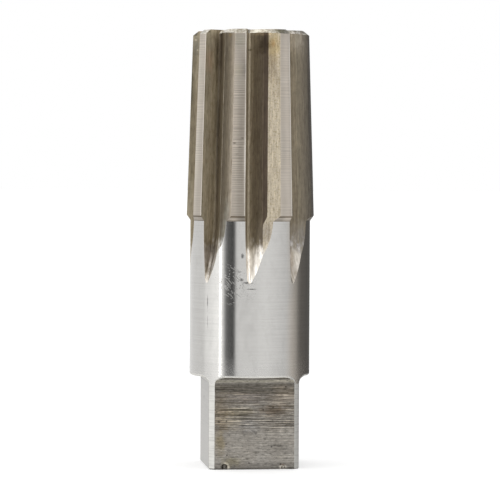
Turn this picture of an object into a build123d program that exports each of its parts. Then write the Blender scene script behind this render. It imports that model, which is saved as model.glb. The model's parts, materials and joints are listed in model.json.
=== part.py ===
"""Taper pipe reamer, 3/4 inch pipe size, straight flutes, square drive. Millimetres and degrees.

The tool stands on the end of its square, with its axis on Z and the small end of the taper up.
It is one piece of hardened steel: a turned blank with a milled square, eight milled flutes that
run out in the shank, and a centre hole in each end. The flats of the square face X and Y.
"""
from build123d import *

import os
from math import acos, atan, cos, degrees, radians, sin, tan

# Turned blank
overall_length = 83.2
cutting_length = 35.2
small_end_diameter = 22.25
taper_on_diameter = 1 / 16
shoulder_step = 0.71
shoulder_length = 1.0
tip_chamfer_height = 0.85
tip_chamfer_depth = 1.05

# Flutes, with their section measured at the large end of the taper
flute_count = 8
flute_depth = 3.4
root_radius = 0.45
floor_angle = 27.0
gullet_width = 3.2
crease_radius = 0.4
land_width = 2.7
full_depth_length = 36.2
cutter_radius = 32.0
flute_end_bevel = 0.7
edge_behind_flat = 11.5

# Drive square
square_length = 17.4
across_flats = 17.25
ledge_radius = 1.2
rim_radius = 0.5
end_break = 0.2

# Centre holes
centre_diameter = 5.3
centre_angle = 60.0
pilot_diameter = 2.5
pilot_depth = 3.6
pilot_point_angle = 118.0

# How far a cutting solid passes the surface that it cuts
overrun = 2.0

# Worked out from the sizes above
shoulder_height = overall_length - cutting_length
tip_radius = small_end_diameter / 2
shoulder_radius = tip_radius + cutting_length * taper_on_diameter / 2
shank_radius = shoulder_radius - shoulder_step
root_distance = shoulder_radius - flute_depth


def blank():
    """The turned blank: shank, sloping shoulder, taper and the chamfer round its small end."""
    outline = Polyline(
        (0, 0),
        (shank_radius - end_break, 0),
        (shank_radius, end_break),
        (shank_radius, shoulder_height - shoulder_length),
        (shoulder_radius, shoulder_height),
        (tip_radius + tip_chamfer_height * taper_on_diameter / 2, overall_length - tip_chamfer_height),
        (tip_radius - tip_chamfer_depth, overall_length),
        (0, overall_length),
        (0, 0),
    )
    return revolve(Plane.XZ * make_face(outline), Axis.Z)


def flat_cut():
    """What the mill takes off for the flat that faces +X, with the round that its corner leaves."""
    flat = across_flats / 2
    outside = shank_radius + overrun
    outline = FilletPolyline(
        (flat - end_break - overrun, -overrun),
        (flat, end_break),
        (flat, square_length),
        (outside, square_length),
        (outside, -overrun),
        radius=[0, 0, ledge_radius, 0, 0],
        close=True,
    )
    return extrude(Plane.XZ * make_face(outline), outside, both=True)


def squared_blank():
    """The blank with its drive square, whose corners keep the round of the shank.

    The rim over the flats runs on smoothly into the long corners, so the fillet rounds them too.
    """
    body = blank() - PolarLocations(0, 4) * flat_cut()
    rims = body.edges().filter_by(GeomType.CIRCLE).filter_by_position(Axis.Z, square_length, square_length)
    return fillet(rims, rim_radius)


def flute_section():
    """The section of a flute, with its origin on the root: x runs out of the flute along the
    cutting face, which is radial, and y runs across the flute towards the next tooth.

    The face drops into a round root. From there the floor climbs at its own angle to a crease,
    and a flatter back leads to the heel of the next tooth, which leaves that land its width.
    """
    face_to_floor = radians(90 - floor_angle)
    corner = root_radius * (1 - 1 / tan(face_to_floor / 2))
    crease = corner + gullet_width * tan(radians(floor_angle))
    heel_turn = radians(360 / flute_count) - land_width / shoulder_radius
    heel = Vector(shoulder_radius * cos(heel_turn) - root_distance, shoulder_radius * sin(heel_turn))
    back = (heel - Vector(crease, gullet_width)).normalized()
    past_heel = heel + back * overrun
    outside = flute_depth + overrun
    outline = FilletPolyline(
        (corner, 0),
        (crease, gullet_width),
        (past_heel.X, past_heel.Y),
        (outside, past_heel.Y),
        (outside, 0),
        radius=[root_radius, crease_radius, 0, 0, 0],
        close=True,
    )
    return make_face(outline)


def flute_cut():
    """The path of the fluting cutter, for the flute whose cutting face lies over the X axis.

    The root runs parallel to the taper. Below, the cutter's own radius carries it out of the
    shank, and at the small end a 45 degree bevel takes the root down to the end face.
    """
    section = flute_section()
    slope = atan(taper_on_diameter / 2)
    past_taper = full_depth_length - cutting_length
    straight = (full_depth_length - flute_end_bevel) / cos(slope)
    rise = flute_depth + overrun
    run_out_turn = degrees(acos(1 - rise / cutter_radius))
    cutter_axis = Axis((cutter_radius, 0, 0), (0, -1, 0))
    path = extrude(section, straight)
    path += revolve(section, cutter_axis, run_out_turn)
    path += extrude(Pos(Z=straight) * section, flute_end_bevel + overrun, dir=(-1, 0, 1))
    start = Plane(
        origin=(root_distance + past_taper * tan(slope), 0, shoulder_height - past_taper),
        x_dir=(cos(slope), 0, sin(slope)),
        z_dir=(-sin(slope), 0, cos(slope)),
    )
    return start * path


def centre_hole():
    """A centre hole with its pilot, drilled up into an end face at height zero."""
    mouth = centre_diameter / 2
    pilot = pilot_diameter / 2
    outline = Polyline(
        (0, 0),
        (mouth, 0),
        (pilot, (mouth - pilot) / tan(radians(centre_angle / 2))),
        (pilot, pilot_depth),
        (0, pilot_depth + pilot / tan(radians(pilot_point_angle / 2))),
        (0, 0),
    )
    return revolve(Plane.XZ * make_face(outline), Axis.Z)


def reamer():
    """The whole tool. The first flute's cutting edge trails the flat that faces -Y."""
    body = squared_blank()
    body -= PolarLocations(0, flute_count, start_angle=-90 - edge_behind_flat) * flute_cut()
    body -= centre_hole()
    body -= Pos(Z=overall_length) * Rot(X=180) * centre_hole()
    return body


os.makedirs("parts", exist_ok=True)
tool = reamer()
tool.label = "reamer"
export_step(tool, "parts/reamer.step")
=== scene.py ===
"""Looks of the taper pipe reamer: its ground, milled and worn steel, its light and its camera.

Metres throughout, with finishes described in millimetres. The tool stands on the end of its
square, with its axis on Z and the front flat facing -Y.
"""
import json
import math
from collections import namedtuple

import bmesh
import bpy
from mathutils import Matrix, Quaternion, Vector
from mathutils.bvhtree import BVHTree

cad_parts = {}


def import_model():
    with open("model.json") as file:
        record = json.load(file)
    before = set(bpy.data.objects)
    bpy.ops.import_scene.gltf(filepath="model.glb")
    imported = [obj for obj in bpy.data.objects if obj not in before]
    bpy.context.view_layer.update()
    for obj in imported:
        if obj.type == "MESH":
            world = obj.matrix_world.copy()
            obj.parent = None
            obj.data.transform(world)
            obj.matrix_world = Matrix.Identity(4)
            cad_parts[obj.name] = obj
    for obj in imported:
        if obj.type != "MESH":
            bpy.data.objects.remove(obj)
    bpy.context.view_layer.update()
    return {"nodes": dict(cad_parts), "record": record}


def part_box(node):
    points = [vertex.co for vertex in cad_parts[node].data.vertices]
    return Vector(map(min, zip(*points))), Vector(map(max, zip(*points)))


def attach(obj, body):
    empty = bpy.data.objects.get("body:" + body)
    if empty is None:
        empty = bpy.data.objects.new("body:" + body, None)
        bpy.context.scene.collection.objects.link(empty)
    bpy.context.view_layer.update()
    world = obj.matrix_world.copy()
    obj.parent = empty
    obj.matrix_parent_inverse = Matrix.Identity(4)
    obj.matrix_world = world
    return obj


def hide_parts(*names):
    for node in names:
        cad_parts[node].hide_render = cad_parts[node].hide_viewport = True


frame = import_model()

MM = 0.001
UP = Vector((0, 0, 1))
SIDEWAYS = Vector((1, 0, 0))

# Sizes of the tool that the frame gives
MOUNTS = {mount["name"]: mount for mount in frame["record"]["mounts"]}
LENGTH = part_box("reamer")[1].z
SHANK_RADIUS = MOUNTS["shank"]["dims"]["r_mm"] * MM
FLAT = abs(MOUNTS["drive_flat_front"]["pos_m"][1])
CUTTING_LENGTH = 2 * (LENGTH - MOUNTS["cutting_taper"]["pos_m"][2])
SHOULDER_HEIGHT = LENGTH - CUTTING_LENGTH

# Sizes that part the finishes from one another
LARGE_RADIUS = 12.225 * MM
TIP_RADIUS = 11.125 * MM
FLUTE_COUNT = 8
FLUTE_DEPTH = 3.4 * MM
FIRST_EDGE = math.radians(-101.5)
SQUARE_TOP = 18.4 * MM
TIP_CHAMFER = 0.85 * MM
HOLE_RADIUS = 2.7 * MM
HOLE_DEPTH = 5 * MM
FACET_SLACK = 0.05 * MM
TAPER = (LARGE_RADIUS - TIP_RADIUS) / CUTTING_LENGTH
PITCH = 2 * math.pi / FLUTE_COUNT

# How squarely a face looks along the tool, or away from its axis, where that parts the finishes
LEVEL = 0.99
CHAMFER_OUTWARD = 0.4
SHANK_OUTWARD = 0.9
LAND_OUTWARD = 0.95
SHOULDER_OUTWARD = 0.6
SHOULDER_DOWNWARD = -0.4

# Where the photograph was taken from. Angles round the tool are from here, to the right.
PHOTO_SIZE = 500
CAMERA_DISTANCE = 0.518
CAMERA_AZIMUTH = math.radians(-7)
CAMERA_HEIGHT = 57.2 * MM
CAMERA_AIM = Vector((0, 0, 41.3 * MM))
CAMERA_LEAN = math.radians(0.3)
CAMERA_LENS = 194.4
CAMERA_SENSOR = 36
NEAREST = 0.01
FARTHEST = 20


def around(angle, distance, height=0.0):
    """A point at an angle round the tool."""
    turn = CAMERA_AZIMUTH + math.radians(angle)
    return Vector((distance * math.sin(turn), -distance * math.cos(turn), height))


def place_in_scene(name, data):
    """A new object of the scene."""
    item = bpy.data.objects.new(name, data)
    bpy.context.scene.collection.objects.link(item)
    return item


def aim(item, target, lean=0.0):
    """Turns a camera or a lamp to look at a point, and leans it."""
    look = (target - item.location).to_track_quat("-Z", "Y")
    item.rotation_mode = "QUATERNION"
    item.rotation_quaternion = look @ Quaternion(UP, lean)


def camera():
    data = bpy.data.cameras.new("camera")
    data.lens = CAMERA_LENS
    data.sensor_width = CAMERA_SENSOR
    data.clip_start = NEAREST
    data.clip_end = FARTHEST
    item = place_in_scene("camera", data)
    item.location = around(0, CAMERA_DISTANCE, CAMERA_HEIGHT)
    aim(item, CAMERA_AIM, CAMERA_LEAN)
    bpy.context.scene.camera = item


def solid_surface():
    """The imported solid, to cast rays at."""
    data = frame["nodes"]["reamer"].data
    corners = [v.co for v in data.vertices]
    return BVHTree.FromPolygons(corners, [tuple(p.vertices) for p in data.polygons])


SURFACE = solid_surface()


def seen_at(x, y):
    """The point of the tool that the photograph shows at a pixel."""
    eye = bpy.context.scene.camera
    span = CAMERA_SENSOR / PHOTO_SIZE
    ray = Vector(((x - PHOTO_SIZE / 2) * span, (PHOTO_SIZE / 2 - y) * span, -CAMERA_LENS))
    return SURFACE.ray_cast(eye.location, eye.rotation_quaternion @ ray)[0]


class Steel:
    """A bare steel material, and the steps that its pattern is built from.

    A pattern lies on the UV map, which measures millimetres across each surface and along the
    tool, or in the tool's own space. Sizes are in millimetres.
    """

    def __init__(self, name, anisotropy=0.0):
        self.material = bpy.data.materials.new(name)
        self.material.use_nodes = True
        self.tree = self.material.node_tree
        self.shader = self.tree.nodes["Principled BSDF"].inputs
        if anisotropy:
            tangent = self.node("Tangent", "Tangent", {}, direction_type="RADIAL", axis="Z")
            values = {"Anisotropic": anisotropy, "Anisotropic Rotation": 0.25, "Tangent": tangent}
            self.fill(self.shader, values)

    def fill(self, inputs, values):
        """Links or sets some of a node's sockets."""
        for key, value in values.items():
            if isinstance(value, bpy.types.NodeSocket):
                self.tree.links.new(value, inputs[key])
            else:
                inputs[key].default_value = value

    def node(self, kind, output, values, **settings):
        """An output of a new node, once its sockets are linked or set."""
        node = self.tree.nodes.new("ShaderNode" + kind)
        for name, value in settings.items():
            setattr(node, name, value)
        self.fill(node.inputs, values)
        return node.outputs[output]

    def place(self, size, turn=0.0, middle=(0, 0, 0), source="UV"):
        """Coordinates that grow by 1 over each size, turned by an angle in degrees."""
        unit = 1 if source == "UV" else MM
        values = {
            "Vector": self.node("TexCoord", source, {}),
            "Location": middle,
            "Rotation": (0, 0, math.radians(turn)),
            "Scale": [unit * s for s in size],
        }
        return self.node("Mapping", "Vector", values, vector_type="TEXTURE")

    def part(self, axis, source="UV"):
        """One coordinate in millimetres: X is across the surface, Y is along the tool."""
        return self.node("SeparateXYZ", axis, {"Vector": self.place((1, 1, 1), source=source)})

    def height(self):
        """Millimetres above the end of the square."""
        return self.part("Z", "Object")

    def noise(self, size, detail=2.0, roughness=0.5):
        """A noise of 0 to 1 on the surface, with marks so long across it and along it."""
        values = {"Vector": self.place((*size, 1)), "Scale": 1.0, "Detail": detail, "Roughness": roughness}
        return self.node("TexNoise", "Fac", values)

    def wander(self, kind):
        """A noise whose values in a span are spread over a reach."""
        return self.spread(self.noise(kind.size, kind.detail, kind.roughness), *kind.span, *kind.reach)

    def patches(self, size):
        """A noise of 0 to 1 in the tool's own space."""
        place = self.place((size, size, size), source="Object")
        return self.node("TexNoise", "Fac", {"Vector": place, "Scale": 1.0, "Detail": 3.0})

    def calculate(self, operation, first, second=0.0):
        return self.node("Math", "Value", {0: first, 1: second}, operation=operation)

    def both(self, first, second):
        """How far two shares of 0 to 1 hold together."""
        return self.calculate("MULTIPLY", first, second)

    def most(self, shares):
        """The largest of some shares."""
        largest = 0.0
        for share in shares:
            largest = self.calculate("MAXIMUM", share, largest)
        return largest

    def spread(self, value, low, high, to_low=0.0, to_high=1.0):
        """Value from low to high, spread smoothly over to_low to to_high and held there outside."""
        values = {"Value": value, "From Min": low, "From Max": high}
        values.update({"To Min": to_low, "To Max": to_high})
        return self.node("MapRange", "Result", values, interpolation_type="SMOOTHSTEP")

    def band(self, value, low, high, softness):
        """1 where a value lies between low and high, 0 away from them."""
        rise = self.spread(value, low - softness, low)
        return self.both(rise, self.spread(value, high, high + softness, 1.0, 0.0))

    def mix(self, share, first, second, blend="MIX"):
        """A colour that goes from the first to the second as share goes from 0 to 1."""
        first, second = ((*c, 1) if isinstance(c, tuple) else c for c in (first, second))
        return self.node("Mix", 2, {0: share, 6: first, 7: second}, data_type="RGBA", blend_type=blend)

    def patched(self, size, first, second):
        """Two colours in soft patches."""
        return self.mix(self.patches(size), first, second)

    def ramp(self, value, stops):
        """Colours along a value. Each stop is where it lies and its colour."""
        low, high = stops[0][0], stops[-1][0]
        position = self.node("MapRange", "Result", {"Value": value, "From Min": low, "From Max": high})
        colours = self.node("ValToRGB", "Color", {"Fac": position})
        elements = colours.node.color_ramp.elements
        for at, colour in stops[1:-1]:
            elements.new((at - low) / (high - low)).color = (*colour, 1)
        elements[0].color = (*stops[0][1], 1)
        elements[-1].color = (*stops[-1][1], 1)
        return colours

    def shade(self, share, colour, factor):
        """The colour times a factor, or times one for each of its parts, as far as share says."""
        factor = factor if isinstance(factor, tuple) else (factor, factor, factor)
        return self.mix(share, colour, factor, "MULTIPLY")

    def shaded(self, colour, value, steps, share=None):
        """The colour, shaded where a value goes from the start of a step to its end, by its factor."""
        for start, end, factor in steps:
            reach = self.spread(value, start, end)
            colour = self.shade(reach if share is None else self.both(reach, share), colour, factor)
        return colour

    def grained(self, colour, grain, share=None):
        """The colour with grain over it, as far as share says, and the noise of the grain."""
        noise = self.noise(grain.size, grain.detail, grain.roughness)
        return self.shaded(colour, noise, grain.steps, share), noise

    def spot(self, x, y, across, along, ragged=0.25):
        """A soft patch with a ragged outline, where the photograph shows it, with its half sizes."""
        place = self.place((across, across, along), middle=seen_at(x, y), source="Object")
        away = self.node("VectorMath", "Value", {"Vector": place}, operation="LENGTH")
        size = RAGGED_SIZE * (across + along) / 2
        wander = self.spread(self.patches(size), *NOISE_SPAN, -ragged, ragged)
        return self.spread(self.calculate("ADD", away, wander), *SPOT_FADE, 1.0, 0.0)

    def spotted(self, colour, stains):
        """The colour with spots on it, each a spot and the factor for the colour under it: stains and
        knocks, and painted highlights and shade.
        """
        for *spot, factor in stains:
            colour = self.shade(self.spot(*spot), colour, factor)
        return colour

    def specks(self, spacing, size, share, turn=0.0):
        """Specks in some share of the cells of a pattern, each so large a part of its cell.

        They are scratches where the cells are narrow and long.
        """
        place = self.place((*spacing, 1), turn)
        near = self.node("TexVoronoi", "Distance", {"Vector": place, "Scale": 1.0}, voronoi_dimensions="2D")
        chance = self.node("SeparateColor", 0, {"Color": near.node.outputs["Color"]})
        dot = self.spread(near, size / 2, size, 1.0, 0.0)
        return self.both(dot, self.spread(chance, share, share + CHANCE_STEP, 1.0, 0.0))

    def bump(self, height, depth, normal):
        """A bump whose height of 0 to 1 is so many millimetres deep, on top of other normals."""
        return self.node("Bump", "Normal", {"Height": height, "Distance": depth * MM, "Normal": normal})

    def worn_edge(self, radius):
        """Normals that round each sharp edge over a radius."""
        return self.node("Bevel", "Normal", {"Radius": radius * MM}, samples=6)

    def finish(self, colour, normal, roughness, metallic=1.0):
        values = {"Base Color": colour, "Normal": normal, "Roughness": roughness, "Metallic": metallic}
        self.fill(self.shader, values)
        return self.material


# Where the values of a noise lie for the most part, how far from its middle a spot fades and how
# large its ragged bits are, both in half sizes, and how sharply chance picks cells
NOISE_SPAN = (0.2, 0.8)
SPOT_FADE = (0.15, 1.15)
RAGGED_SIZE = 0.4
CHANCE_STEP = 0.01

# How far apart the UV maps of two flutes, lands or flats lie
UV_APART = 100

# The layer that says how worn the back of each tooth is: 0 dull, 0.5 rubbed at its heel, 1 bare
WEAR = "back_wear"
BACK_WEAR = (1.0, 0.0, 0.4, 0.8, 0.2, 0.6, 0.1, 0.5)

# Bare steel: the size of its patches, and its two colours
SHANK_STEEL = (3, (0.555, 0.545, 0.525), (0.595, 0.585, 0.565))
LAND_STEEL = (2.5, (0.4, 0.355, 0.3), (0.46, 0.42, 0.37))
BACK_STEEL = (2, (0.53, 0.46, 0.355), (0.62, 0.55, 0.43))
SQUARE_STEEL = (3, (0.216, 0.198, 0.172), (0.3, 0.284, 0.26))
CORNER_STEEL = (1.2, (0.63, 0.62, 0.585), (0.78, 0.77, 0.735))
END_STEEL = (3, (0.5, 0.475, 0.43), (0.58, 0.555, 0.51))

# Grain and wander are noises, by the size of their marks across and along the tool, their detail
# and their roughness. Grain adds steps that shade the colour, each with its start, its end and
# its factor. Wander adds a span of the noise's values and what that span is spread over.
Grain = namedtuple("Grain", "size detail roughness steps")
Wander = namedtuple("Wander", "size detail roughness span reach")
SHANK_RINGS = Grain((25, 0.16), 3.0, 0.6, ((0.35, 0.7, 0.93),))
SHANK_SMEARS = Grain((1.2, 3.5), 4.0, 0.6, ((0.48, 0.66, 0.96),))
LAND_LINES = Grain((7, 0.16), 2.0, 0.6, ((0.52, 0.64, 0.82), (0.46, 0.34, 1.14)))
BACK_SPECKLE = Grain((0.3, 0.35), 2.0, 0.6, ((0.5, 0.64, (0.78, 0.75, 0.66)),))
FLUTE_STREAKS = Grain((0.3, 5), 5.0, 0.7, (
    (0.48, 0.66, (0.72, 0.7, 0.67)),
    (0.48, 0.34, (1.25, 1.25, 1.22)),
))
FLUTE_MOTTLE = Grain((0.5, 1.4), 4.0, 0.7, (
    (0.5, 0.64, (0.82, 0.81, 0.78)),
    (0.48, 0.34, (1.12, 1.12, 1.1)),
))
MILLING_MARKS = (
    Grain((5, 0.17), 3.0, 0.7, (
        (0.52, 0.59, (0.5, 0.485, 0.46)),
        (0.44, 0.37, (1.7, 1.666, 1.598)),
    )),
    Grain((11, 0.2), 3.0, 0.7, (
        (0.52, 0.57, (0.58, 0.5626, 0.5336)),
        (0.44, 0.39, (1.7, 1.666, 1.598)),
    )),
    Grain((20, 0.5), 3.0, 0.7, (
        (0.52, 0.66, (0.8, 0.776, 0.736)),
        (0.44, 0.3, (1.15, 1.127, 1.081)),
    )),
)
SQUARE_PITS = Grain((0.9, 0.32), 4.0, 0.75, ((0.52, 0.62, 0.62), (0.46, 0.36, 1.4)))
CORNER_RINGS = Grain((6, 0.3), 3.0, 0.6, ((0.45, 0.65, 0.85),))

# Shank: where round it the steel turns warmer, the heights between which it gets duller towards
# the square, and how rough it is at each
WARM_SIDE = ((6.8, 9.4, (1.07, 1.0, 0.92)),)
SHANK_FOOT = (22.5, 18.5)
SHANK_ROUGHNESS = (0.17, 0.27)

# Scratches of the shank: the cell that each lies in, how it lies in degrees, and the share of
# cells that have one. Then their width, how far they show away from the scuff, and what they do.
SCRATCHES = (
    ((0.42, 3.2), 38, 0.75),
    ((0.38, 2.2), 58, 0.3),
    ((0.45, 0.7), -70, 0.5),
)
SCRATCH_WIDTH = 0.27
SCUFFED_ELSEWHERE = 0.06
SCRATCH_SHADE = 0.9
SCRATCH_ROUGHNESS = 0.5

# Lands: how far apart the ridges of the grinding lie, how they wander, where they show and how
# they shade. Then the heights that the lands end at and that lines of painted shade lie at along
# the shoulder's top and foot, how far from the cutting edge the steel turns pale at the heel, and
# where along the edge it is rubbed and carries a painted highlight.
LAND_FEED = 0.44
FEED_WANDER = Wander((300, 1.5), 2.0, 0.5, NOISE_SPAN, (0.0, 1.5))
RIDGE_DEPTH = Wander((1.5, 0.5), 2.0, 0.5, (0.35, 0.6), (0.1, 0.4))
LINED_ELSEWHERE = Wander((30, 6), 1.0, 0.5, (0.4, 0.65), (0.04, 0.22))
LINED_RAGGED = 0.15
RIDGE_STEPS = ((0.52, 0.64, 0.62), (0.46, 0.34, 1.4))
SHOULDER_EDGE = (47.9, 48.1)
SHOULDER_SHADE_LINES = ((46.9, 47.1, 0.08), (47.75, 47.95, 0.08))
SHOULDER_SHADE = (0.4, 0.36, 0.3)
HEEL = (-2.7, -1.3)
HEEL_SHADE = 1.2
GLINTING_EDGE = (-0.22, -0.12)
EDGE_GLINT_STEEL = (0.9, 0.86, 0.79)
EDGE_GLINT_ELSEWHERE = 0.6

# Flutes, in millimetres across from the root, which are below zero on the cutting face. The film
# runs from there to the crease, and the backs from the crease to the heel. The film's colours hold
# painted shade just below the root and towards the crease, and a painted paler strip past the root.
FLUTE_FILM_AND_SHADING = (
    (-3.5, (0.4, 0.35, 0.255)),
    (-2.0, (0.46, 0.39, 0.275)),
    (-0.9, (0.4, 0.335, 0.23)),
    (-0.2, (0.19, 0.152, 0.1)),
    (0.3, (0.34, 0.29, 0.21)),
    (0.6, (0.39, 0.335, 0.248)),
    (0.95, (0.33, 0.28, 0.205)),
    (1.3, (0.215, 0.178, 0.122)),
    (2.4, (0.19, 0.156, 0.108)),
    (3.1, (0.165, 0.13, 0.09)),
)
DULL_BACK = (
    (3.2, (0.24, 0.205, 0.145)),
    (4.6, (0.235, 0.2, 0.15)),
    (6.6, (0.105, 0.093, 0.077)),
)
RUBBED_BACK = (
    (3.2, (0.16, 0.13, 0.088)),
    (3.45, (0.11, 0.088, 0.06)),
    (4.7, (0.165, 0.135, 0.092)),
    (5.3, (0.23, 0.192, 0.14)),
    (6.5, (0.43, 0.375, 0.305)),
)
CREASE = (3.12, 3.2)

# On all but the barest teeth the film lies further from the edge, and the root is plain and dark:
# oil film, with painted shade over it
FILMED_WEAR = (1.0, 0.6)
FILM_SHIFT = 0.5
DARK_ROOT = (0.2, 1.8, 0.3)
ROOT_FILM_AND_SHADE = (0.2, 0.165, 0.115)

# On the barest, dark scale and a painted shadow of the tooth ahead reach past the crease: between
# two heights, from one width to another, where that tooth drops at the shoulder
SHADOW_HEIGHTS = (45.9, 48.2)
SHADOW_WIDTHS = (3.15, 4.0)
SHADOW_EDGE = (-0.03, 0.08)
SCALE_AND_SHADOW = (0.088, 0.063, 0.042)

# On those between, a painted highlight runs along the crease
CREASE_GLINT = (3.1, 3.2, 0.06)
GLINTING_WEAR = (0.45, 0.65, 0.05)
GLINT_BREAKS = Wander((8, 3), 3.0, 0.5, (0.35, 0.6), (0.4, 1.0))
CREASE_GLINT_STEEL = (0.62, 0.57, 0.48)

# Run-outs: the heights between which they get clean, how those wander, how clean they get on the
# dullest and the barest teeth, and the smears of two greys on them
CLEAN_HEIGHTS = (43.6, 40.4)
CLEAN_WANDER = Wander((1.0, 2.5), 3.0, 0.6, (0.25, 0.75), (-1.4, 1.4))
CLEAN_SHARES = (0.6, 1.0)
RUNOUT_SMEARS = Wander((0.5, 2.5), 4.0, 0.65, (0.35, 0.65), (0.0, 1.0))
RUNOUT_STEEL = ((0.94, 0.9, 0.84), (0.58, 0.54, 0.48))

# How rough and how metallic a flute is, from filmed to clean
FLUTE_ROUGHNESS = (0.5, 0.36)
FLUTE_METAL = (0.6, 1.0)

# Square: the heights of its band of painted shade under the ledge, of the painted light and shade up its
# ledge fillet, and of the shades at its foot.
# Then how far the milling marks show where they are fine and below the ledge, the cells, size
# and share of its specks, and where across the UV map the left flat turns its plainer colour.
LEDGE_SHADE_BAND = (14.6, 16.1, 0.5)
LEDGE_SHADE = (0.58, 0.57, 0.55)
LEDGE_LIGHT_AND_SHADE = (
    (16.4, 16.6, (0.38, 0.355, 0.295)),
    (16.95, 17.1, (0.5, 0.485, 0.45)),
    (17.3, 17.5, (0.85, 0.83, 0.78)),
)
FINE_BELOW = (8.6, 6.4)
FOOT_SHADES = ((*FINE_BELOW, 1.2), (1.5, 0.9, 0.7), (0.5, 0.3, 0.6))
FINE_SHARE = 0.3
BELOW_LEDGE = (16.4, 15.0)
LEDGE_SHARE = 0.2
SQUARE_SPECKS = ((2.2, 2.2), 0.1, 0.3)
SPECK_SHADE = 0.4
LEFT_FLAT = (1.5 * UV_APART, 1.6 * UV_APART)
LEFT_FLAT_SHARE = 0.78
LEFT_FLAT_STEEL = (0.48, 0.467, 0.44)

# Ends: their turned rings, how far the flat end faces and the holes reach and how softly they
# end, and the chips of the chamfer by their size, their span of the noise and two colours
END_RINGS = {"Scale": 5.0, "Detail": 3.0}
END_RING_STEPS = ((0.42, 0.6, 0.8),)
END_REACH = 0.05
END_SOFTNESS = 0.03
HOLE_SOFTNESS = 0.1
CHIP_SIZE = 0.4
CHIP_SPAN = (0.35, 0.65)
CHIPPED_STEEL = ((0.3, 0.265, 0.21), (0.52, 0.5, 0.44))

# Marks of wear and of painted light, each with the photograph's pixel that shows its middle and
# its half sizes in millimetres across and along the tool. Stains and knocks add a factor for the
# colour under them, and lined patches add how strongly the lands' lines show there. Factors above
# one are painted highlights and reflections, and the darkest spots in the dents and by the flute
# roots are painted shade.
SHANK_KNOCKS = (
    (242.5, 256, 0.36, 0.55, 0.25),
    (241.5, 280, 0.5, 0.3, 0.3),
    (247.5, 283, 1.2, 0.3, 0.3),
    (251.7, 289.3, 1.15, 0.13, 0.25),
    (245, 303, 1.6, 3.0, 0.94),
    (243, 315, 1.2, 1.2, 0.95),
    (249, 331, 1.8, 2.0, 0.95),
    (239, 272, 0.6, 0.25, 0.6),
    (207.5, 302, 0.2, 1.6, 0.5),
    (207.5, 322, 0.15, 1.6, 0.75),
)
SHANK_SCUFF = (235, 284, 4.5, 4.0)
EDGE_GLINT_MOST = (240, 140, 4, 14)
LINED_PATCHES = (
    (238, 150, 2.0, 18, 0.45),
    (241, 43, 1.8, 1.6, 0.3),
    (240, 93, 1.8, 1.8, 0.5),
)
LAND_STAINS_AND_HIGHLIGHTS = (
    (198, 120, 1.3, 22, (1.2, 1.22, 1.2)),
    (204, 60, 1.2, 12, (1.12, 1.12, 1.12)),
    (234, 120, 1.1, 60, (1.28, 1.26, 1.24)),
    (244, 130, 1.5, 60, (0.72, 0.71, 0.7)),
    (288, 130, 1.4, 60, (1.42, 1.42, 1.44)),
    (245, 69, 0.8, 2.2, (0.8, 0.8, 0.82)),
    (240, 40, 1.6, 1.6, (0.92, 0.945, 0.91)),
    (239, 70, 1.6, 1.6, (0.98, 0.99, 0.94)),
    (244.5, 165, 0.35, 11, (1.25, 1.26, 1.28)),
    (205.5, 80, 0.5, 16, (0.84, 0.83, 0.82)),
    (202.5, 165, 0.5, 16, (0.84, 0.83, 0.82)),
    (234.5, 143, 0.45, 0.15, (0.2, 0.18, 0.16)),
    (242.5, 138, 0.4, 0.11, (0.35, 0.33, 0.3)),
    (240, 147, 0.5, 0.1, (0.6, 0.58, 0.55)),
    (237, 154, 0.5, 0.1, (0.5, 0.48, 0.45)),
)
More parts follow.
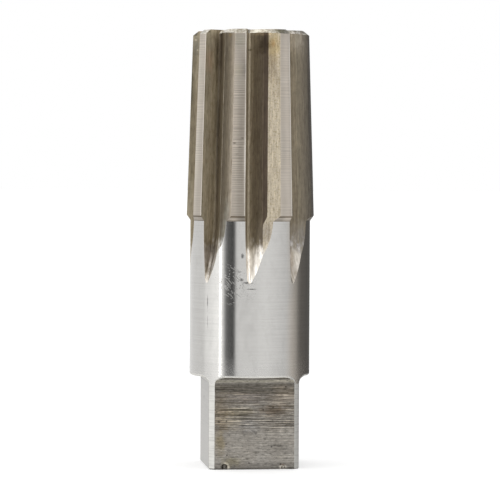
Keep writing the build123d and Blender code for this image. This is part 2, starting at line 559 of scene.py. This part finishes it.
FLUTE_STAINS_AND_PAINTED_LIGHT = (
    (273.5, 43.5, 0.5, 0.9, (0.9, 0.78, 0.64)),
    (273, 46, 2.0, 3.8, (0.97, 0.9, 0.7)),
    (272, 66, 1.8, 7, (0.76, 0.73, 0.7)),
    (264, 43, 1.7, 2.6, (0.42, 0.38, 0.33)),
    (220.5, 47, 1.4, 4.5, (0.6, 0.57, 0.54)),
    (258, 130, 2.2, 26, (0.9, 0.88, 0.9)),
    (209, 62, 1.5, 3.0, (1.1, 0.99, 0.96)),
    (295, 40, 3.4, 3.0, (1.6, 1.65, 1.8)),
    (309, 105, 0.4, 30, (0.55, 0.56, 0.58)),
    (262, 34, 2.4, 0.4, (1.6, 1.55, 1.4)),
    (250, 50, 0.6, 0.17, (0.35, 0.31, 0.27)),
    (191.7, 80, 0.35, 10, (0.5, 0.52, 0.48)),
    (195.5, 33.8, 0.7, 0.5, (0.3, 0.3, 0.28)),
    (208.5, 31.3, 0.6, 0.35, (0.4, 0.38, 0.34)),
    (219.5, 165, 0.4, 12, (0.74, 0.72, 0.7)),
    (204.3, 170, 0.5, 10, (1.25, 1.22, 1.2)),
    (222, 34.5, 0.8, 0.6, (0.62, 0.63, 0.66)),
    (224.5, 38, 0.4, 0.5, (1.6, 1.65, 1.75)),
    (230.5, 35, 0.6, 0.5, (1.2, 1.1, 0.85)),
    (196.5, 47, 1.0, 2.6, (0.72, 0.75, 0.8)),
    (196, 40, 0.3, 0.15, (2.2, 2.2, 2.3)),
    (197.5, 50, 0.2, 0.2, (1.9, 1.9, 1.9)),
    (192.5, 120, 0.9, 25, (0.7, 0.68, 0.63)),
    (294, 130, 0.9, 30, (1.16, 1.18, 1.2)),
    (304, 130, 1.6, 30, (0.88, 0.88, 0.87)),
    (217.5, 130, 0.5, 26, (0.5, 0.48, 0.45)),
    (207, 256, 1.8, 4.0, (0.46, 0.43, 0.41)),
    (205.5, 270, 1.2, 2.6, (0.55, 0.52, 0.48)),
    (212, 250, 0.6, 4.0, (0.6, 0.58, 0.56)),
    (226.5, 214, 1.2, 4.0, (1.12, 1.2, 1.32)),
    (223.5, 231, 1.2, 3.6, (1.35, 1.5, 1.72)),
    (217.5, 249, 1.0, 3.2, (1.7, 1.78, 1.9)),
    (212.5, 263, 0.8, 3.0, (1.6, 1.7, 1.85)),
    (267, 233, 1.6, 2.6, (0.74, 0.74, 0.78)),
    (298, 236, 2.4, 3.2, (1.23, 1.31, 1.55)),
    (293.5, 272, 1.5, 4.2, (0.6, 0.58, 0.56)),
    (291, 258, 0.7, 4.0, (0.75, 0.7, 0.65)),
)
TIP_STAINS_AND_HIGHLIGHTS = (
    (203, 32, 1.4, 0.6, (0.6, 0.59, 0.57)),
    (240, 30.5, 1.6, 0.5, (0.72, 0.71, 0.68)),
    (260, 31, 3.0, 0.6, (1.25, 1.24, 1.2)),
    (280, 31, 1.4, 0.6, (0.66, 0.64, 0.52)),
    (297, 33, 2.0, 0.6, (1.9, 1.9, 2.0)),
)
SQUARE_STAINS_AND_PAINTED_LIGHT = (
    (284, 396, 3.4, 3.0, (1.22, 1.16, 1.1)),
    (248, 397, 6.0, 1.8, (0.85, 0.82, 0.82)),
    (221, 414, 2.2, 5.0, (0.86, 0.8, 0.71)),
    (240, 412, 4.0, 1.1, (0.9, 0.87, 0.78)),
    (273, 411, 3.4, 1.5, (0.66, 0.59, 0.53)),
    (231, 421, 2.2, 2.2, (1.22, 1.19, 1.12)),
    (249, 426, 2.4, 1.6, (1.05, 1.08, 1.15)),
    (220, 443, 1.2, 3.0, (0.86, 0.8, 0.64)),
    (232, 462, 2.4, 1.2, (0.8, 0.78, 0.66)),
    (277, 445.5, 1.6, 0.3, (0.55, 0.55, 0.55)),
    (284, 449, 1.3, 0.25, (0.55, 0.55, 0.55)),
    (219, 422, 0.4, 0.3, (0.35, 0.34, 0.33)),
    (256, 433, 0.4, 0.35, (0.5, 0.5, 0.5)),
    (265, 439, 0.4, 0.25, (0.5, 0.5, 0.5)),
    (256, 452.5, 0.7, 0.25, (0.5, 0.5, 0.48)),
    (247, 459, 0.5, 0.3, (0.5, 0.5, 0.48)),
    (204, 396.3, 0.5, 0.4, (0.2, 0.2, 0.2)),
    (228.2, 467.5, 0.4, 0.5, (2.8, 2.8, 2.7)),
    (226, 464.3, 0.6, 0.35, (2.8, 2.8, 2.7)),
    (223.8, 467.4, 0.6, 0.5, (0.06, 0.06, 0.06)),
    (282.8, 467.2, 0.8, 0.5, (3.4, 3.4, 3.3)),
    (282.5, 464.4, 0.7, 0.2, (0.6, 0.52, 0.48)),
    (282.6, 468.7, 0.25, 0.25, (0.03, 0.03, 0.03)),
    (280.5, 464, 0.3, 0.3, (0.4, 0.4, 0.38)),
    (283.2, 468, 0.4, 0.4, (0.03, 0.03, 0.03)),
)


def ground_shank():
    """Bright cylindrical grinding: fine rings, a few knocks, and scratches below the flutes."""
    steel = Steel("ground_shank", anisotropy=0.9)
    colour, rings = steel.grained(steel.patched(*SHANK_STEEL), SHANK_RINGS)
    colour, _ = steel.grained(colour, SHANK_SMEARS)
    colour = steel.shaded(colour, steel.part("X"), WARM_SIDE)
    colour = steel.spotted(colour, SHANK_KNOCKS)
    kinds = [steel.specks(cell, SCRATCH_WIDTH, share, turn) for cell, turn, share in SCRATCHES]
    scuffed = steel.most((steel.spot(*SHANK_SCUFF), SCUFFED_ELSEWHERE))
    scratches = steel.both(scuffed, steel.most(kinds))
    colour = steel.shade(scratches, colour, SCRATCH_SHADE)
    smooth = steel.spread(steel.height(), *SHANK_FOOT, *SHANK_ROUGHNESS)
    roughness = steel.calculate("ADD", smooth, steel.both(scratches, SCRATCH_ROUGHNESS))
    normal = steel.bump(rings, depth=0.0012, normal=steel.worn_edge(radius=0.08))
    return steel.finish(colour, normal, roughness)


def feed_ridges(steel):
    """Waves of 0 to 1 where the wheel's feed left ridges round the lands, broken here and there."""
    turns = steel.calculate("DIVIDE", steel.part("Y"), LAND_FEED)
    turns = steel.calculate("ADD", turns, steel.wander(FEED_WANDER))
    wave = steel.calculate("SINE", steel.calculate("MULTIPLY", turns, 2 * math.pi))
    return steel.calculate("ADD", 0.5, steel.both(wave, steel.wander(RIDGE_DEPTH)))


def ground_land():
    """Cylindrical grinding across the lands and the shoulder, with a rubbed cutting edge that carries a
    painted highlight, and painted shade lines along the shoulder.
    """
    steel = Steel("ground_land", anisotropy=0.3)
    spots = [steel.both(steel.spot(*spot, LINED_RAGGED), share) for *spot, share in LINED_PATCHES]
    lined = steel.most((*spots, steel.wander(LINED_ELSEWHERE)))
    colour = steel.shaded(steel.patched(*LAND_STEEL), feed_ridges(steel), RIDGE_STEPS, lined)
    colour, lines = steel.grained(colour, LAND_LINES, lined)
    from_edge = steel.part("X")
    height = steel.height()
    above = steel.spread(height, *SHOULDER_EDGE)
    heel = steel.both(steel.spread(from_edge, *HEEL, 1.0, 0.0), above)
    colour = steel.shade(heel, colour, HEEL_SHADE)
    # Painted highlight along the cutting edge, over its rubbed steel.
    rubbed = steel.both(steel.spread(from_edge, *GLINTING_EDGE), above)
    rubbed = steel.both(rubbed, steel.most((steel.spot(*EDGE_GLINT_MOST), EDGE_GLINT_ELSEWHERE)))
    colour = steel.mix(rubbed, colour, EDGE_GLINT_STEEL)
    # Painted shade: dark lines along the top and the foot of the shoulder.
    shoulder_shade = steel.most(steel.band(height, *band) for band in SHOULDER_SHADE_LINES)
    colour = steel.shade(shoulder_shade, colour, SHOULDER_SHADE)
    # These spots include painted highlights along the edges and the heels, besides stains and pits.
    colour = steel.spotted(colour, LAND_STAINS_AND_HIGHLIGHTS)
    normal = steel.bump(lines, depth=0.006, normal=steel.worn_edge(radius=0.1))
    return steel.finish(colour, normal, roughness=0.42)


def tooth_back(steel, across, height, wear):
    """The colour of a back, past the crease: dull, rubbed paler towards the heel, or bare beyond a dark
    edge of scale and painted shadow.
    """
    bare, _ = steel.grained(steel.patched(*BACK_STEEL), BACK_SPECKLE)
    # Painted shadow of the tooth ahead, with the dark scale: its edge steps out where that tooth drops at
    # the shoulder.
    shadow_end = steel.spread(height, *SHADOW_HEIGHTS, *SHADOW_WIDTHS)
    past_shadow = steel.spread(steel.calculate("SUBTRACT", across, shadow_end), *SHADOW_EDGE)
    bare = steel.mix(past_shadow, SCALE_AND_SHADOW, bare)
    dull = steel.ramp(across, DULL_BACK)
    rubbed = steel.ramp(across, RUBBED_BACK)
    back = steel.mix(steel.spread(wear, 0.0, 0.5), dull, rubbed)
    return steel.mix(steel.spread(wear, 0.5, 1.0), back, bare)


def milled_flute():
    """Milled lengthways, then filmed with scale and oil: brown on the face, dark in the root from the
    film and from painted shade, with a painted paler strip just past it.

    Past the crease the backs differ. Some are dull, some are rubbed paler towards the heel, and
    on the cleanest dark scale and a painted shadow of the tooth ahead end in a straight line. On
    some a painted highlight runs along the crease. The run-outs in the shank are bare steel.
    """
    steel = Steel("milled_flute")
    across = steel.part("X")
    height = steel.height()
    wear = steel.node("Attribute", "Fac", {}, attribute_name=WEAR)
    filmed = steel.spread(wear, *FILMED_WEAR)
    # The film's ramp paints shade near the root and towards the crease, and a paler strip of painted light
    # just past the root.
    colour = steel.ramp(steel.calculate("SUBTRACT", across, steel.both(filmed, FILM_SHIFT)), FLUTE_FILM_AND_SHADING)
    # Painted shade, with the oil film, darkens the root.
    colour = steel.mix(steel.both(filmed, steel.band(across, *DARK_ROOT)), colour, ROOT_FILM_AND_SHADE)
    colour = steel.mix(steel.spread(across, *CREASE), colour, tooth_back(steel, across, height, wear))
    # Painted highlight along the crease, broken here and there.
    crease_glint = steel.both(steel.band(across, *CREASE_GLINT), steel.band(wear, *GLINTING_WEAR))
    crease_glint = steel.both(crease_glint, steel.wander(GLINT_BREAKS))
    colour = steel.mix(crease_glint, colour, CREASE_GLINT_STEEL)
    colour, streaks = steel.grained(colour, FLUTE_STREAKS)
    colour, _ = steel.grained(colour, FLUTE_MOTTLE)
    wandering = steel.calculate("ADD", height, steel.wander(CLEAN_WANDER))
    clean = steel.spread(wandering, *CLEAN_HEIGHTS)
    clean = steel.both(clean, steel.spread(wear, 0.0, 1.0, *CLEAN_SHARES))
    smeared = steel.mix(steel.wander(RUNOUT_SMEARS), *RUNOUT_STEEL)
    colour = steel.mix(clean, colour, smeared)
    # These spots include painted highlights and reflections, and painted shade in the roots and by the
    # edges, besides stains.
    colour = steel.spotted(colour, FLUTE_STAINS_AND_PAINTED_LIGHT)
    normal = steel.bump(streaks, depth=0.006, normal=steel.worn_edge(radius=0.1))
    roughness = steel.spread(clean, 0.0, 1.0, *FLUTE_ROUGHNESS)
    return steel.finish(colour, normal, roughness, steel.spread(clean, 0.0, 1.0, *FLUTE_METAL))


def milled_square():
    """Side-milled flats: the cutter's marks run straight across, coarse above and fine below."""
    steel = Steel("milled_square")
    height = steel.height()
    colour = steel.patched(*SQUARE_STEEL)
    # Painted shade in a band below the ledge, where it overhangs the flats.
    colour = steel.shade(steel.band(height, *LEDGE_SHADE_BAND), colour, LEDGE_SHADE)
    # Painted light and shade in bands up the ledge's fillet: dark, then mid, then a pale highlight at its
    # top.
    for low, high, tint in LEDGE_LIGHT_AND_SHADE:
        colour = steel.mix(steel.spread(height, low, high), colour, tint)
    colour = steel.shaded(colour, height, FOOT_SHADES)
    coarse = steel.spread(height, *FINE_BELOW, 1.0, FINE_SHARE)
    coarse = steel.both(coarse, steel.spread(height, *BELOW_LEDGE, LEDGE_SHARE, 1.0))
    for grain in MILLING_MARKS:
        colour, marks = steel.grained(colour, grain, coarse)
    colour, pits = steel.grained(colour, SQUARE_PITS)
    colour = steel.shade(steel.specks(*SQUARE_SPECKS), colour, SPECK_SHADE)
    plain = steel.spread(steel.part("X"), *LEFT_FLAT, 0.0, LEFT_FLAT_SHARE)
    colour = steel.mix(plain, colour, LEFT_FLAT_STEEL)
    # These spots include painted highlights and painted shade in and round the dents at the foot, besides
    # stains.
    colour = steel.spotted(colour, SQUARE_STAINS_AND_PAINTED_LIGHT)
    normal = steel.bump(pits, depth=0.01, normal=steel.worn_edge(radius=0.08))
    return steel.finish(colour, steel.bump(marks, depth=0.02, normal=normal), roughness=0.32)


def broken_corner():
    """The long corners between the flats, dulled by handling."""
    steel = Steel("broken_corner")
    colour, _ = steel.grained(steel.patched(*CORNER_STEEL), CORNER_RINGS)
    return steel.finish(colour, steel.worn_edge(radius=0.12), roughness=0.5)


def turned_end():
    """The turned end faces, the chamfer round the tip and the centre holes."""
    steel = Steel("turned_end")
    place = steel.place((1, 1, 1), source="Object")
    off_axis = steel.node("VectorMath", "Vector", {0: place, 1: (1, 1, 0)}, operation="MULTIPLY")
    radius = steel.node("VectorMath", "Value", {0: off_axis}, operation="LENGTH")
    rings = steel.node("TexNoise", "Fac", {"W": radius, **END_RINGS}, noise_dimensions="1D")
    colour = steel.shaded(steel.patched(*END_STEEL), rings, END_RING_STEPS)
    chipped = steel.mix(steel.spread(steel.patches(CHIP_SIZE), *CHIP_SPAN), *CHIPPED_STEEL)
    between_ends = steel.band(steel.height(), END_REACH, LENGTH / MM - END_REACH, END_SOFTNESS)
    past_hole = steel.spread(radius, HOLE_RADIUS / MM, HOLE_RADIUS / MM + HOLE_SOFTNESS)
    colour = steel.mix(steel.both(between_ends, past_hole), colour, chipped)
    # These spots include painted highlights on the tops of the teeth, besides chips and stains.
    colour = steel.spotted(colour, TIP_STAINS_AND_HIGHLIGHTS)
    normal = steel.bump(rings, depth=0.008, normal=steel.worn_edge(radius=0.12))
    return steel.finish(colour, normal, roughness=0.36)


FINISHES = {
    "shank": ground_shank,
    "land": ground_land,
    "flute": milled_flute,
    "square": milled_square,
    "corner": broken_corner,
    "end": turned_end,
}


# How close two faces lie in direction where they share a smooth surface, or lie on the taper
SMOOTH_LIMIT = math.cos(math.radians(26))
TAPER_SLACK = 0.05


def finish_of(face):
    """Which finish a face of the tool has, by where it lies and how it faces."""
    centre = face.calc_center_median()
    normal = face.normal
    across = math.hypot(centre.x, centre.y)
    outward = (normal.x * centre.x + normal.y * centre.y) / across if across else 0
    from_end = min(centre.z, LENGTH - centre.z)
    if abs(normal.z) > LEVEL or (across < HOLE_RADIUS and from_end < HOLE_DEPTH):
        return "end"
    if centre.z > LENGTH - TIP_CHAMFER and outward > CHAMFER_OUTWARD:
        return "end"
    if centre.z < SQUARE_TOP and across < SHANK_RADIUS - FACET_SLACK:
        return "square"
    if centre.z < SHOULDER_HEIGHT and outward > SHANK_OUTWARD and across > SHANK_RADIUS - FACET_SLACK:
        return "shank" if centre.z > SQUARE_TOP else "corner"
    land_radius = LARGE_RADIUS - TAPER * (centre.z - SHOULDER_HEIGHT)
    if centre.z >= SHOULDER_HEIGHT and outward > LAND_OUTWARD and across > land_radius - FACET_SLACK:
        return "land"
    if outward > SHOULDER_OUTWARD and normal.z < SHOULDER_DOWNWARD:
        return "land"
    return "flute"


def true_normals(mesh):
    """Corner normals, face by face: exact on the ground rounds, smooth within each other surface."""
    names = list(FINISHES)
    normals = []
    for face in mesh.faces:
        name = names[face.material_index]
        for corner in face.verts:
            outward = Vector((corner.co.x, corner.co.y, 0)).normalized()
            if name in ("shank", "corner"):
                normals.append(outward)
            elif name == "land" and abs(face.normal.z - TAPER) < TAPER_SLACK:
                normals.append((outward + Vector((0, 0, TAPER))).normalized())
            else:
                near = (f for f in corner.link_faces if f.material_index == face.material_index)
                alike = (f for f in near if f.normal.dot(face.normal) > SMOOTH_LIMIT)
                normals.append(sum((f.normal * f.calc_area() for f in alike), Vector()).normalized())
    return normals


# How far off a face its flute is looked up, how squarely a cutting face looks towards the heel,
# and how far from upright a flat's normal lies at least
OFF_SURFACE = 0.3 * MM
FACE_SQUARE = 0.9
OFF_UPRIGHT = 0.1


def flute_of(face):
    """Which flute a face of its surface belongs to."""
    inside = face.calc_center_median() + face.normal * OFF_SURFACE
    return math.floor((math.atan2(inside.y, inside.x) - FIRST_EDGE) / PITCH) % FLUTE_COUNT


def flute_place(face):
    """Puts a point on a flute's surface in millimetres across the flute and along the tool.

    Across runs from below zero on the cutting face, through zero at the root, to the heel. Each
    flute is set apart from the last, so no two have the same streaks.
    """
    flute = flute_of(face)
    angle = FIRST_EDGE + flute * PITCH
    along_face = Vector((math.cos(angle), math.sin(angle), 0))
    to_heel = Vector((-along_face.y, along_face.x, 0))
    cutting_face = face.normal.dot(to_heel) > FACE_SQUARE

    def place(point):
        root = LARGE_RADIUS - FLUTE_DEPTH - TAPER * (point.z - SHOULDER_HEIGHT)
        across = root - point.dot(along_face) if cutting_face else point.dot(to_heel)
        return across / MM, point.z / MM + flute * UV_APART

    return place


def land_place(face):
    """Puts a point on a land in millimetres from its cutting edge, below zero, and along the tool."""
    centre = face.calc_center_median()
    tooth = math.ceil((math.atan2(centre.y, centre.x) - FIRST_EDGE) / PITCH)
    edge = Vector((math.cos(FIRST_EDGE + tooth * PITCH), math.sin(FIRST_EDGE + tooth * PITCH)))

    def place(point):
        return point.xy.angle_signed(edge) * point.xy.length / MM, point.z / MM + tooth * UV_APART

    return place


def shank_place(face):
    """Puts a point on the shank in millimetres round it from the middle of the view, and along it."""
    middle = around(0, 1).xy

    def place(point):
        return point.xy.angle_signed(middle) * SHANK_RADIUS / MM, point.z / MM

    return place


def flat_place(face):
    """Puts a point of a flat or an end face in millimetres along the flat, and along the tool."""
    level = Vector((-face.normal.y, face.normal.x, 0))
    level = level.normalized() if level.length > OFF_UPRIGHT else SIDEWAYS
    apart = UV_APART * round(math.degrees(math.atan2(face.normal.y, face.normal.x)) / 90)

    def place(point):
        return point.dot(level) / MM + apart, point.z / MM

    return place


UV_PLACES = {
    "shank": shank_place,
    "land": land_place,
    "flute": flute_place,
    "square": flat_place,
    "corner": shank_place,
    "end": flat_place,
}


def map_surfaces(mesh):
    """A UV map in millimetres on every surface, and how worn the flutes are."""
    layer = mesh.loops.layers.uv.new("surface")
    wear = mesh.faces.layers.float.new(WEAR)
    names = list(FINISHES)
    for face in mesh.faces:
        name = names[face.material_index]
        place = UV_PLACES[name](face)
        for loop in face.loops:
            loop[layer].uv = place(loop.vert.co)
        if name == "flute":
            face[wear] = BACK_WEAR[flute_of(face)]


# How near two points lie where they are taken for one
SAME_POINT = 0.001 * MM


def cut(mesh, faces, point, normal):
    """Splits some faces by a plane."""
    edges = {e for f in faces for e in f.edges}
    verts = {v for f in faces for v in f.verts}
    parts = list(faces) + list(edges) + list(verts)
    bmesh.ops.bisect_plane(mesh, geom=parts, plane_co=point, plane_no=normal, dist=SAME_POINT)


# How the fluting cutter leaves the shank: where it starts to rise, how its disc leans, and the
# lengths over which the lean grows and fades again below the run-outs
RUNOUT_TOP = SHOULDER_HEIGHT - 1 * MM
RUNOUT_LENGTH = 12.5 * MM
LEAN_FADE = 4.5 * MM
LEAN_STEP = 0.5 * MM
CUTTER_RADIUS = 32 * MM
CUTTER_LEAN = math.radians(12)


def lean_runouts(mesh):
    """Leans the run-outs towards the teeth's backs, as the disc of a double-angle cutter lies.

    The round shank between and below them turns along with them, so that nothing folds over.
    """
    reach = RUNOUT_LENGTH + LEAN_FADE
    for step in range(round(reach / LEAN_STEP)):
        cut(mesh, mesh.faces, UP * (RUNOUT_TOP - step * LEAN_STEP), UP)
    for vert in mesh.verts:
        drop = RUNOUT_TOP - vert.co.z
        if 0 < drop < reach:
            rise = CUTTER_RADIUS - math.sqrt(CUTTER_RADIUS**2 - min(drop, RUNOUT_LENGTH) ** 2)
            fade = min(1, (reach - drop) / LEAN_FADE)
            eased = fade * fade * (3 - 2 * fade)
            turn = eased * rise * math.tan(CUTTER_LEAN) / vert.co.xy.length
            vert.co = Quaternion(UP, turn) @ vert.co


# Dents at the foot of the front flat: the photograph's pixel, the reach and the depth
DENTS = (
    (224.5, 467.0, 0.6 * MM, 0.5 * MM),
    (283.2, 467.5, 0.42 * MM, 0.34 * MM),
)

# The grid that is cut for a dent: its half size in reaches, its cells each way from the middle,
# and how far out a point still counts, in half sizes
DENT_MARGIN = 1.7
DENT_STEPS = 9
GRID_SLACK = 1.001

# The lip round a dent, in depths and reaches: its height, its distance and its width
LIP_HEIGHT = 0.12
LIP_AWAY = 1.15
LIP_WIDTH = 0.2

# What still belongs to the front flat: how far back it lies, and how it faces
FRONT_BACK = -FLAT + 0.25 * MM
FRONT_FACING = -0.6


def dent(mesh, x, y, reach, depth):
    """A round dent with a low lip, on a fine grid that is cut into the flat for it."""
    middle = seen_at(x, y)
    half = reach * DENT_MARGIN

    def near(point, slack=1.0):
        beside = abs(point.x - middle.x) < half * slack and abs(point.z - middle.z) < half * slack
        return beside and point.y < FRONT_BACK

    for axis in (SIDEWAYS, UP):
        for side in (-1, 1):
            facing = (f for f in mesh.faces if f.normal.y < FRONT_FACING)
            front = [f for f in facing if f.calc_center_median().y < FRONT_BACK]
            cut(mesh, front, middle + axis * half * side, axis)
    for axis in (SIDEWAYS, UP):
        for step in range(1 - DENT_STEPS, DENT_STEPS):
            faces = [f for f in mesh.faces if near(f.calc_center_median())]
            cut(mesh, faces, middle + axis * half * step / DENT_STEPS, axis)
    for vert in mesh.verts:
        if near(vert.co, GRID_SLACK):
            away = math.hypot(vert.co.x - middle.x, vert.co.z - middle.z) / reach
            hollow = max(0, 1 - away * away)
            lip = LIP_HEIGHT * math.exp(-(((away - LIP_AWAY) / LIP_WIDTH) ** 2))
            vert.co.y += depth * (hollow - lip)


def mesh_data(name, mesh):
    """Mesh data from a bmesh, which is freed."""
    data = bpy.data.meshes.new(name)
    mesh.to_mesh(data)
    mesh.free()
    return data


def tool_body():
    """The tool's own solid, with its doubled points merged and a finish on each face."""
    node = frame["nodes"]["reamer"]
    mesh = bmesh.new()
    mesh.from_mesh(node.data)
    bmesh.ops.remove_doubles(mesh, verts=mesh.verts, dist=SAME_POINT)
    names = list(FINISHES)
    for face in mesh.faces:
        face.smooth = True
        face.material_index = names.index(finish_of(face))
    for mark in DENTS:
        dent(mesh, *mark)
    map_surfaces(mesh)
    lean_runouts(mesh)
    mesh.normal_update()
    normals = true_normals(mesh)
    data = mesh_data("reamer_steel", mesh)
    data.normals_split_custom_set(normals)
    for make in FINISHES.values():
        data.materials.append(make())
    piece = place_in_scene("reamer_steel", data)
    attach(piece, "root")
    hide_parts("reamer")


# The studio is a strip lamp and a tent that only the steel's reflections show. The tent is open
# at the middle of its table and ceiling, and the lamp hangs just inside its wall. Each brightness
# belongs to an angle round the tool, and runs evenly from one to the next.
STRIP = {"start": -58.4, "end": -56.4, "low": -0.4, "high": 0.7, "power": 0.22}
TENT_RADIUS = 0.45
TENT_STEPS = 360
TENT_MIDDLE = 0.01
INSIDE_TENT = 0.98
TABLE_HEIGHT = -0.12
WALL_HEIGHT = 0.24
CEILING_HEIGHT = 0.62
WALL = (
    (-180, 0.95), (-105, 0.97), (-97, 1.02), (-92, 1.2), (-81, 1.28), (-67, 1.48), (-57, 1.5),
    (-52, 1.1), (-48.5, 0.5), (-45, 0.2), (-40, 0.12), (-32, 0.07), (-29, 0.2), (-25, 0.95),
    (-18, 1.0), (10, 0.99), (17, 1.05), (31, 1.08), (52, 0.98), (69, 0.87), (79, 0.79),
    (89, 0.62), (100, 0.42), (106, 0.25), (115, 0.16), (140, 0.12), (165, 0.12), (172, 0.95),
    (180, 0.95),
)
CEILING = (
    (-180, 1.5), (-60, 1.8), (-48, 0.4), (-30, 0.4), (-22, 2.1), (30, 2.1), (60, 0.8), (110, 0.4),
    (165, 0.4), (175, 1.5), (180, 1.5),
)
TABLE = ((-180, 0.85), (180, 0.85))

# The floor, how it glows to the camera, and how strongly the world lights it
FLOOR_RADIUS = 6
FLOOR_SIDES = 64
FLOOR_GLOW = 0.4
WORLD_LIGHT = 0.9


def between(stops, angle):
    """The brightness that a list of stops gives at an angle."""
    for (start, first), (end, second) in zip(stops, stops[1:]):
        if angle <= end:
            return first + (second - first) * (angle - start) / (end - start)


def strip_lamp():
    middle = math.radians((STRIP["end"] - STRIP["start"]) / 2)
    height = (STRIP["low"] + STRIP["high"]) / 2
    data = bpy.data.lights.new("strip_lamp", "AREA")
    data.shape = "RECTANGLE"
    data.size = 2 * TENT_RADIUS * math.tan(middle)
    data.size_y = STRIP["high"] - STRIP["low"]
    data.energy = STRIP["power"]
    item = place_in_scene("strip_lamp", data)
    item.location = around((STRIP["start"] + STRIP["end"]) / 2, TENT_RADIUS * INSIDE_TENT, height)
    aim(item, UP * height)


def glowing(name):
    """A material that only glows. Returns it with its glow."""
    material = bpy.data.materials.new(name)
    material.use_nodes = True
    tree = material.node_tree
    tree.nodes.clear()
    glow = tree.nodes.new("ShaderNodeEmission")
    out = tree.nodes.new("ShaderNodeOutputMaterial")
    tree.links.new(glow.outputs["Emission"], out.inputs["Surface"])
    return material, glow


def tent_sheet(name, start, end, stops):
    """Part of the tent, turned from one radius and height to another, as bright as its stops say."""
    mesh = bmesh.new()
    ends = [mesh.verts.new(around(180, *at)) for at in (start, end)]
    profile = [*ends, mesh.edges.new(ends)]
    turn = {"cent": (0, 0, 0), "axis": UP, "angle": 2 * math.pi, "steps": TENT_STEPS}
    bmesh.ops.spin(mesh, geom=profile, use_merge=True, **turn)
    data = mesh_data(name, mesh)
    shine = data.attributes.new("shine", "FLOAT", "POINT")
    for vert, value in zip(data.vertices, shine.data):
        angle = math.degrees(math.atan2(vert.co.x, -vert.co.y) - CAMERA_AZIMUTH)
        value.value = between(stops, (angle + 180) % 360 - 180)
    material, glow = glowing(name)
    read = material.node_tree.nodes.new("ShaderNodeAttribute")
    read.attribute_name = "shine"
    material.node_tree.links.new(read.outputs["Fac"], glow.inputs["Strength"])
    data.materials.append(material)
    item = place_in_scene(name, data)
    item.visible_camera = False
    item.visible_diffuse = False
    item.visible_shadow = False
    item.visible_transmission = False


def tent():
    foot = (TENT_RADIUS, TABLE_HEIGHT)
    eaves = (TENT_RADIUS, WALL_HEIGHT)
    tent_sheet("tent_table", (TENT_MIDDLE, TABLE_HEIGHT), foot, TABLE)
    tent_sheet("tent_wall", foot, eaves, WALL)
    tent_sheet("tent_ceiling", eaves, (TENT_MIDDLE, CEILING_HEIGHT), CEILING)


def floor():
    """A pale floor. Its own glow keeps it white to the camera, round the tool's shadow."""
    mesh = bmesh.new()
    bmesh.ops.create_circle(mesh, cap_ends=True, segments=FLOOR_SIDES, radius=FLOOR_RADIUS)
    data = mesh_data("floor", mesh)
    material, glow = glowing("floor")
    tree = material.node_tree
    ray = tree.nodes.new("ShaderNodeLightPath")
    strength = tree.nodes.new("ShaderNodeMath")
    strength.operation = "MULTIPLY"
    strength.inputs[1].default_value = FLOOR_GLOW
    tree.links.new(ray.outputs["Is Camera Ray"], strength.inputs[0])
    tree.links.new(strength.outputs["Value"], glow.inputs["Strength"])
    paint = tree.nodes.new("ShaderNodeBsdfDiffuse")
    both = tree.nodes.new("ShaderNodeAddShader")
    tree.links.new(paint.outputs["BSDF"], both.inputs[0])
    tree.links.new(glow.outputs["Emission"], both.inputs[1])
    tree.links.new(both.outputs["Shader"], tree.nodes["Material Output"].inputs["Surface"])
    data.materials.append(material)
    item = place_in_scene("floor", data)
    item.visible_glossy = False


def world():
    """White all round to the camera, and softer where it lights the floor."""
    scene = bpy.context.scene
    scene.world = bpy.data.worlds.new("studio")
    scene.world.use_nodes = True
    tree = scene.world.node_tree
    ray = tree.nodes.new("ShaderNodeLightPath")
    strength = tree.nodes.new("ShaderNodeMapRange")
    strength.inputs["To Min"].default_value = 1.0
    strength.inputs["To Max"].default_value = WORLD_LIGHT
    tree.links.new(ray.outputs["Is Diffuse Ray"], strength.inputs["Value"])
    background = tree.nodes["Background"]
    background.inputs["Color"].default_value = (1, 1, 1, 1)
    tree.links.new(strength.outputs["Result"], background.inputs["Strength"])


bpy.context.scene.view_settings.view_transform = "Standard"
camera()
world()
floor()
strip_lamp()
tent()
tool_body()
